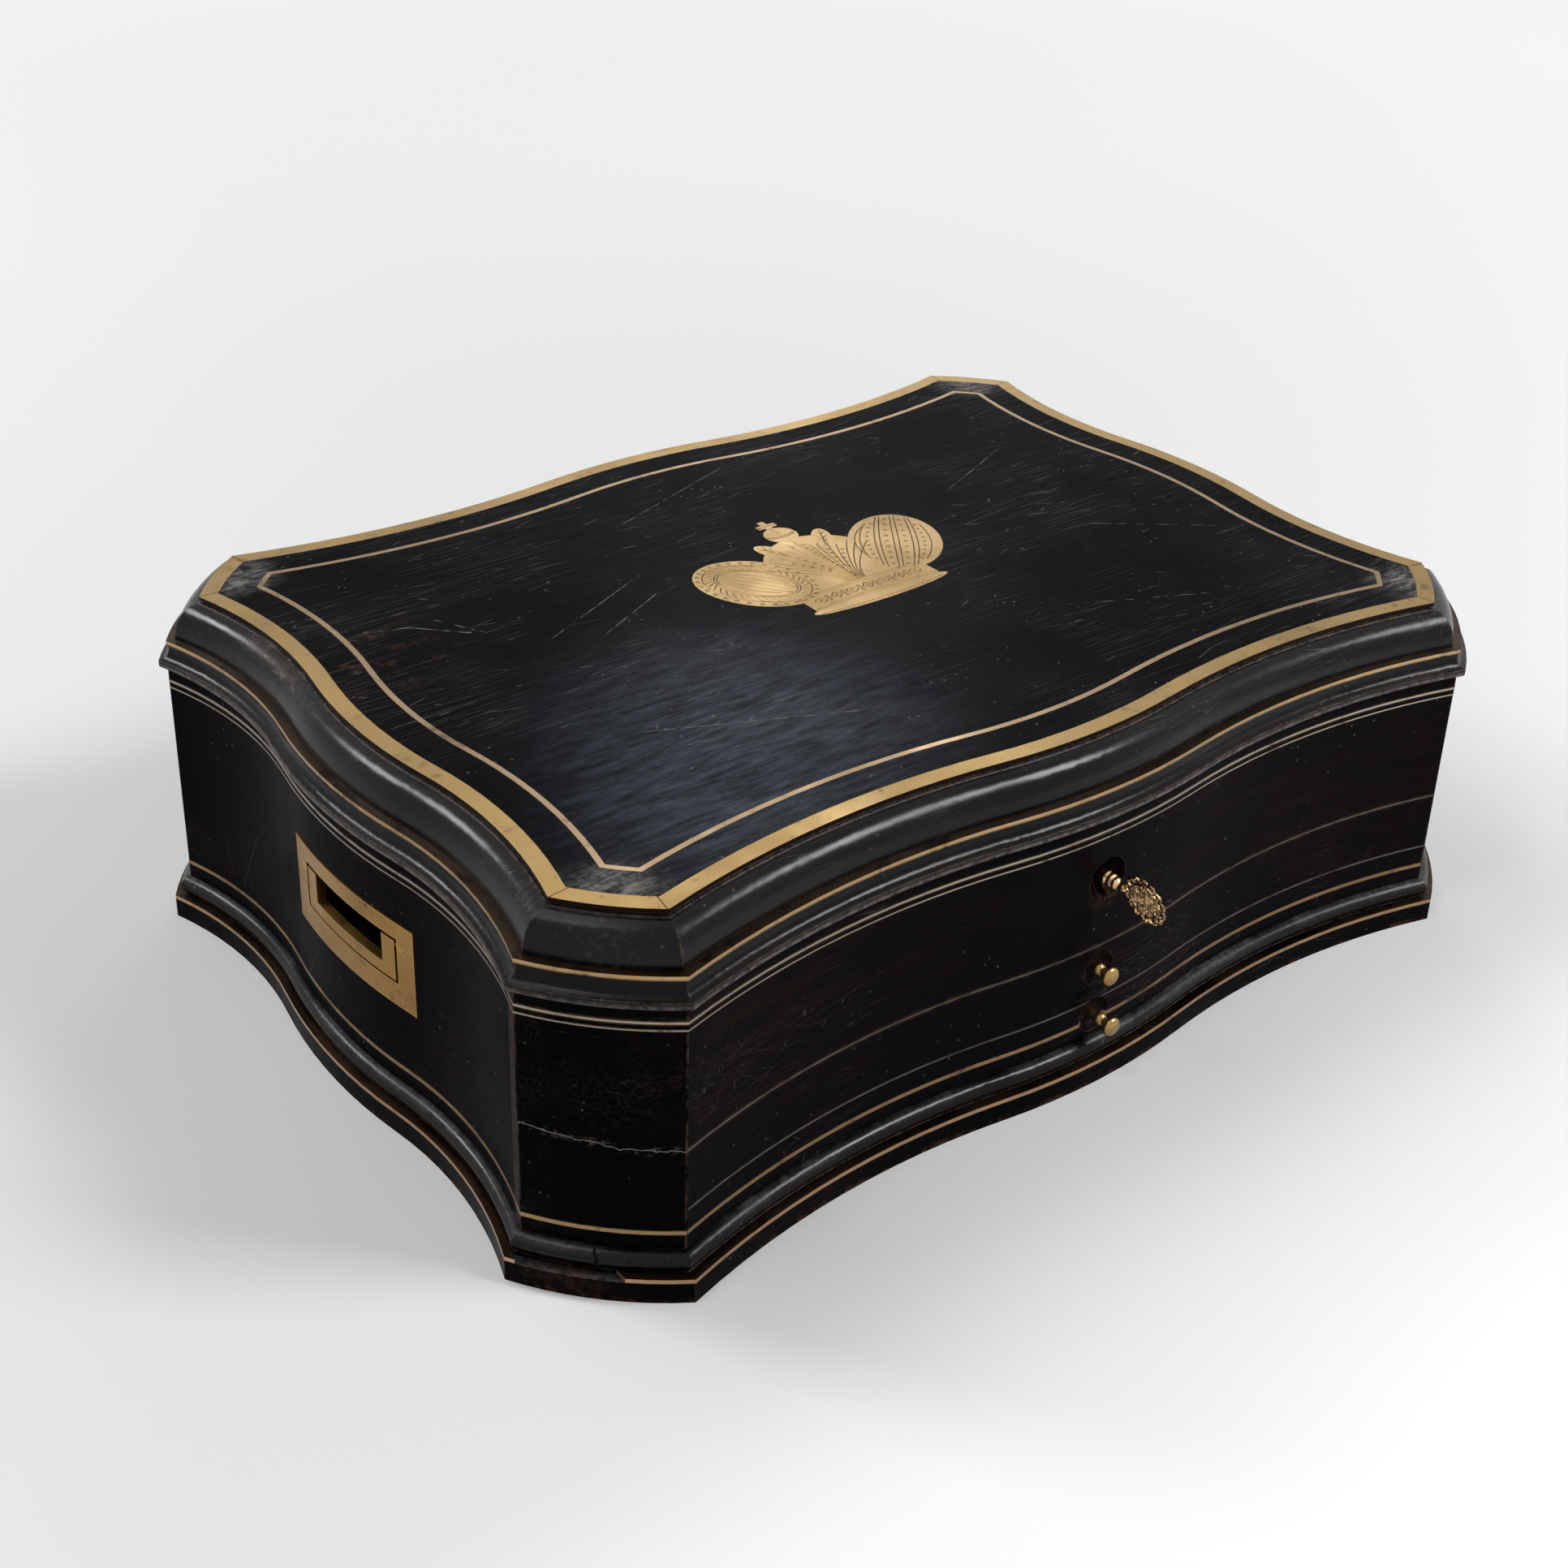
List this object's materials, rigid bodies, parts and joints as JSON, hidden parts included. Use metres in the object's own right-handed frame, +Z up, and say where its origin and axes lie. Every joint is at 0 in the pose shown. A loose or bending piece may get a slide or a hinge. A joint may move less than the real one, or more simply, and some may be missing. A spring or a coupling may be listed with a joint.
{
  "type": "artist box",
  "caption": "Black polished serpentine artist's box with brass lines, a hinged lid over a fitted well, shallow drawers, a lock with its key and flush end handles.",
  "frame": {"origin": "centre of the flat base, under the middle of the case", "axes": "+Z up, the front with the drawers and the key faces -Y, +X along the length to the right"},
  "size_m": [0.4756, 0.3712, 0.1432],
  "materials": {
    "ebonised_wood": "black french polish, worn at the edges",
    "worn_brass": "dull worn brass line and band",
    "brass": "old polished brass",
    "inner_wood": "waxed hardwood",
    "drawer_wood": "plain waxed wood",
    "lining": "short pile cloth"
  },
  "bodies": {
    "case": {"base_board": "ebonised_wood", "plinth": "ebonised_wood", "base_bead": "ebonised_wood", "side_left": "ebonised_wood", "side_right": "ebonised_wood", "back_panel": "ebonised_wood", "front_panel": "ebonised_wood", "corner_post_front_left": "ebonised_wood", "corner_post_front_right": "ebonised_wood", "corner_post_back_left": "ebonised_wood", "corner_post_back_right": "ebonised_wood", "case_lip": "ebonised_wood", "plinth_fillet": "worn_brass", "upper_string": "worn_brass", "upper_hairline": "worn_brass", "lower_string": "worn_brass", "lock_case": "brass", "case_screws": "brass", "hinge_leaf_case_left": "brass", "hinge_leaf_case_right": "brass", "hinge_pins": "brass", "handle_plate_left": "brass", "handle_plate_right": "brass", "bail_pins": "brass", "case_bottom": "inner_wood", "well_floor": "inner_wood", "tray_frame": "inner_wood", "tray_bottom": "inner_wood", "tray_divider_long": "inner_wood", "tray_dividers_cross": "inner_wood", "tray_ledges": "inner_wood", "drawer_divider": "drawer_wood", "guide_left": "drawer_wood", "guide_right": "drawer_wood", "well_lining": "lining"},
    "lid": {"lid_rim": "ebonised_wood", "lid_frame": "ebonised_wood", "lid_panel": "ebonised_wood", "lid_band": "worn_brass", "lid_string": "worn_brass", "lid_fillet": "worn_brass", "lid_inlay": "worn_brass", "lid_lining": "lining", "link_plate": "brass", "lid_screws": "brass", "hinge_leaf_lid_left": "brass", "hinge_leaf_lid_right": "brass"},
    "drawer_upper": {"drawer_upper_front": "ebonised_wood", "drawer_upper_carcass": "drawer_wood", "drawer_upper_bottom": "drawer_wood", "knob_upper": "brass"},
    "drawer_lower": {"drawer_lower_front": "ebonised_wood", "drawer_lower_carcass": "drawer_wood", "drawer_lower_bottom": "drawer_wood", "knob_lower": "brass", "drawer_lower_string": "worn_brass"},
    "key": {"key": "brass"},
    "bolt": {"lock_bolt": "brass"},
    "bail_left": {"bail_left": "brass"},
    "bail_right": {"bail_right": "brass"}
  },
  "joints": [
    {"name": "lid_hinge", "type": "hinge", "parent": "case", "child": "lid", "pos_m": [0, 0.17473, 0.1181], "axis": [-1, 0, 0], "range_deg": [0, 100]},
    {"name": "drawer_upper_slide", "type": "slide", "parent": "case", "child": "drawer_upper", "axis": [0, -1, 0], "range_m": [0, 0.2]},
    {"name": "drawer_lower_slide", "type": "slide", "parent": "case", "child": "drawer_lower", "axis": [0, -1, 0], "range_m": [0, 0.2]},
    {"name": "key_turn", "type": "hinge", "parent": "case", "child": "key", "pos_m": [0, -0.16, 0.088], "axis": [0, 1, 0], "range_deg": [0, 90]},
    {"name": "bolt_slide", "type": "slide", "parent": "case", "child": "bolt", "axis": [1, 0, 0], "range_m": [0, 0.005]},
    {"name": "bail_left_swing", "type": "hinge", "parent": "case", "child": "bail_left", "pos_m": [-0.22626, 0.0171, 0.0774], "axis": [-0.0416, 0.9991, 0], "range_deg": [0, 95]},
    {"name": "bail_right_swing", "type": "hinge", "parent": "case", "child": "bail_right", "pos_m": [0.22626, 0.0171, 0.0774], "axis": [-0.0416, -0.9991, 0], "range_deg": [0, 95]}
  ],
  "couplings": [
    {"joint": "bolt_slide", "follows": "key_turn", "m_per_rad": 0.003183}
  ]
}
